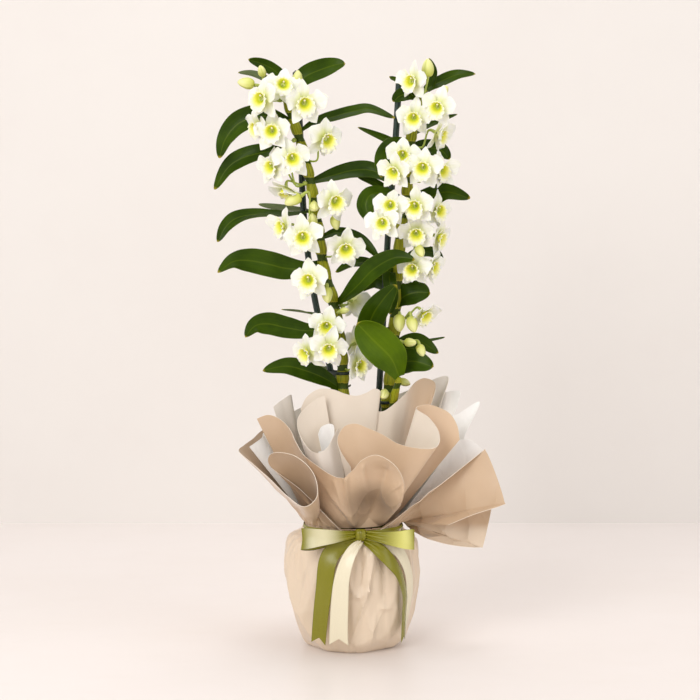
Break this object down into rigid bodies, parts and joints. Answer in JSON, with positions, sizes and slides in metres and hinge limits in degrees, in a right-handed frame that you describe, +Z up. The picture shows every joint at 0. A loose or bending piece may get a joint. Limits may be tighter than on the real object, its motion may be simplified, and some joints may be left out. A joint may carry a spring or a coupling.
{
  "type": "gift-wrapped potted orchid",
  "caption": "Cane-stemmed orchid in flower in a pot, with leafy staked stems of white blooms and buds, the pot wrapped in flared paper and tied with a ribbon bow.",
  "frame": {"origin": "centre of the wrapped pot's flat base, on the surface it stands on", "axes": "+Z up, -Y towards the viewer and the bow, +X to the viewer's right"},
  "size_m": [0.2872, 0.2, 0.586],
  "materials": {
    "pot_plastic": "plain moulded plastic, out of sight in the wrap",
    "bark_mix": "coarse bark chips",
    "foliage": "glossy dark green leaves on ribbed yellow-green canes",
    "stake_plastic": "fluted glossy dark green",
    "tie_plastic": "smooth glossy dark green",
    "bloom_white": "soft waxy white petals with a yellow-green throat",
    "wrap_paper": "smooth tan outside, pearly ivory inside",
    "liner_paper": "smooth pearly ivory",
    "tissue_paper": "thin translucent white",
    "ribbon_olive": "satin with a fine weave",
    "ribbon_ivory": "satin with a fine weave"
  },
  "bodies": {
    "root": {"grower_pot": "pot_plastic", "growing_medium": "bark_mix", "leafy_cane_left": "foliage", "leafy_cane_right": "foliage", "leafy_young_shoot": "foliage", "stake_left": "stake_plastic", "stake_right": "stake_plastic", "tie_left": "tie_plastic", "tie_right": "tie_plastic", "bloom_left_01": "bloom_white", "bloom_left_02": "bloom_white", "bloom_left_03": "bloom_white", "bloom_left_04": "bloom_white", "bloom_left_05": "bloom_white", "bloom_left_06": "bloom_white", "bloom_left_07": "bloom_white", "bloom_left_08": "bloom_white", "bloom_left_09": "bloom_white", "bloom_left_10": "bloom_white", "bloom_left_11": "bloom_white", "bloom_left_12": "bloom_white", "bloom_left_13": "bloom_white", "bloom_left_14": "bloom_white", "bloom_right_01": "bloom_white", "bloom_right_02": "bloom_white", "bloom_right_03": "bloom_white", "bloom_right_04": "bloom_white", "bloom_right_05": "bloom_white", "bloom_right_06": "bloom_white", "bloom_right_07": "bloom_white", "bloom_right_08": "bloom_white", "bloom_right_09": "bloom_white", "bloom_right_10": "bloom_white", "bloom_right_11": "bloom_white", "bloom_right_12": "bloom_white", "bloom_right_13": "bloom_white", "bloom_right_14": "bloom_white", "paper_wrap_outer": "wrap_paper", "paper_front_low": "wrap_paper", "paper_front": "wrap_paper", "paper_liner": "liner_paper", "paper_roll_left": "liner_paper", "paper_back_panel": "liner_paper", "paper_tissue_left": "tissue_paper", "paper_tissue_right": "tissue_paper", "ribbon_band": "ribbon_olive", "ribbon_knot": "ribbon_olive", "ribbon_loop_left": "ribbon_olive", "ribbon_loop_right": "ribbon_olive", "ribbon_tail_olive_left": "ribbon_olive", "ribbon_tail_olive_right": "ribbon_olive", "ribbon_tail_ivory_left": "ribbon_ivory", "ribbon_tail_ivory_right": "ribbon_ivory"}
  },
  "joints": []
}
